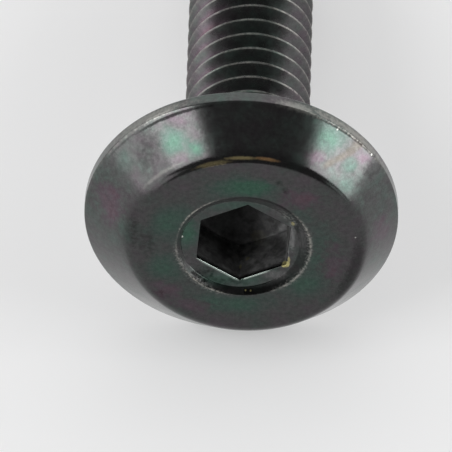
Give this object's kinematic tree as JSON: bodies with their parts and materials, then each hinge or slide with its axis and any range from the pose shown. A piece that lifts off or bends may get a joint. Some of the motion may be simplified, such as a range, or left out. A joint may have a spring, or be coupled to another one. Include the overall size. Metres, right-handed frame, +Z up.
{
  "type": "button head screw",
  "caption": "Black plated M6 button head screw with a wide bevelled head, a hex socket in a shallow round dish, and thread up to the head.",
  "frame": {"origin": "on the floor, under the middle of the lying screw", "axes": "+Z up; the screw's axis lies in the YZ plane, from the head at -Y to the tip at +Y, and slopes down 12.8 degrees towards the tip"},
  "size_m": [0.0147, 0.0238, 0.0144],
  "materials": {
    "black_plated_steel": "glossy black plating with a faint green and pink iridescence, worn to brass colour at the socket's edge"
  },
  "bodies": {
    "root": {"button_head_screw": "black_plated_steel"}
  },
  "joints": []
}
